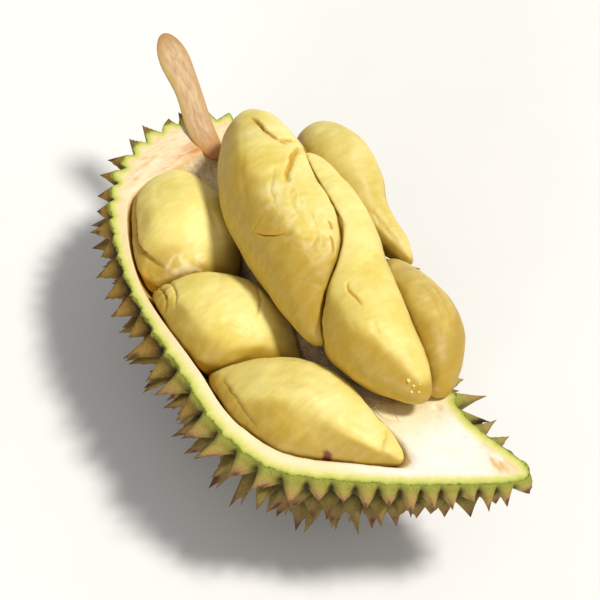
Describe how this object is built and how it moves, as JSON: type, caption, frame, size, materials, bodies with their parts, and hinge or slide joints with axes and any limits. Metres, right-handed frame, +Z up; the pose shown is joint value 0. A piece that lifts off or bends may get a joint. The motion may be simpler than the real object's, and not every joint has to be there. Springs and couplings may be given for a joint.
{
  "type": "opened durian",
  "caption": "Opened durian lying on its spines: a pointed spiny husk cut lengthwise with its split stem, its hollows heaped with pods of pale yellow flesh.",
  "frame": {"origin": "bottom centre of the part's box, on the surface that the lowest spines rest on", "axes": "+X along the fruit from the stem to the pointed tip, +Z up out of the cut face, +Y across towards the side where the flesh leans over the rim"},
  "size_m": [0.342, 0.1808, 0.1278],
  "materials": {
    "rind": "matte",
    "stem_wood": "matte",
    "flesh": "satin"
  },
  "bodies": {
    "root": {"husk": "rind", "stem": "stem_wood", "left_pod_upper": "flesh", "left_pod_middle": "flesh", "left_pod_lower": "flesh", "centre_pod_upper": "flesh", "centre_pod_lower": "flesh", "right_pod_upper": "flesh", "right_pod_lower": "flesh"}
  },
  "joints": []
}
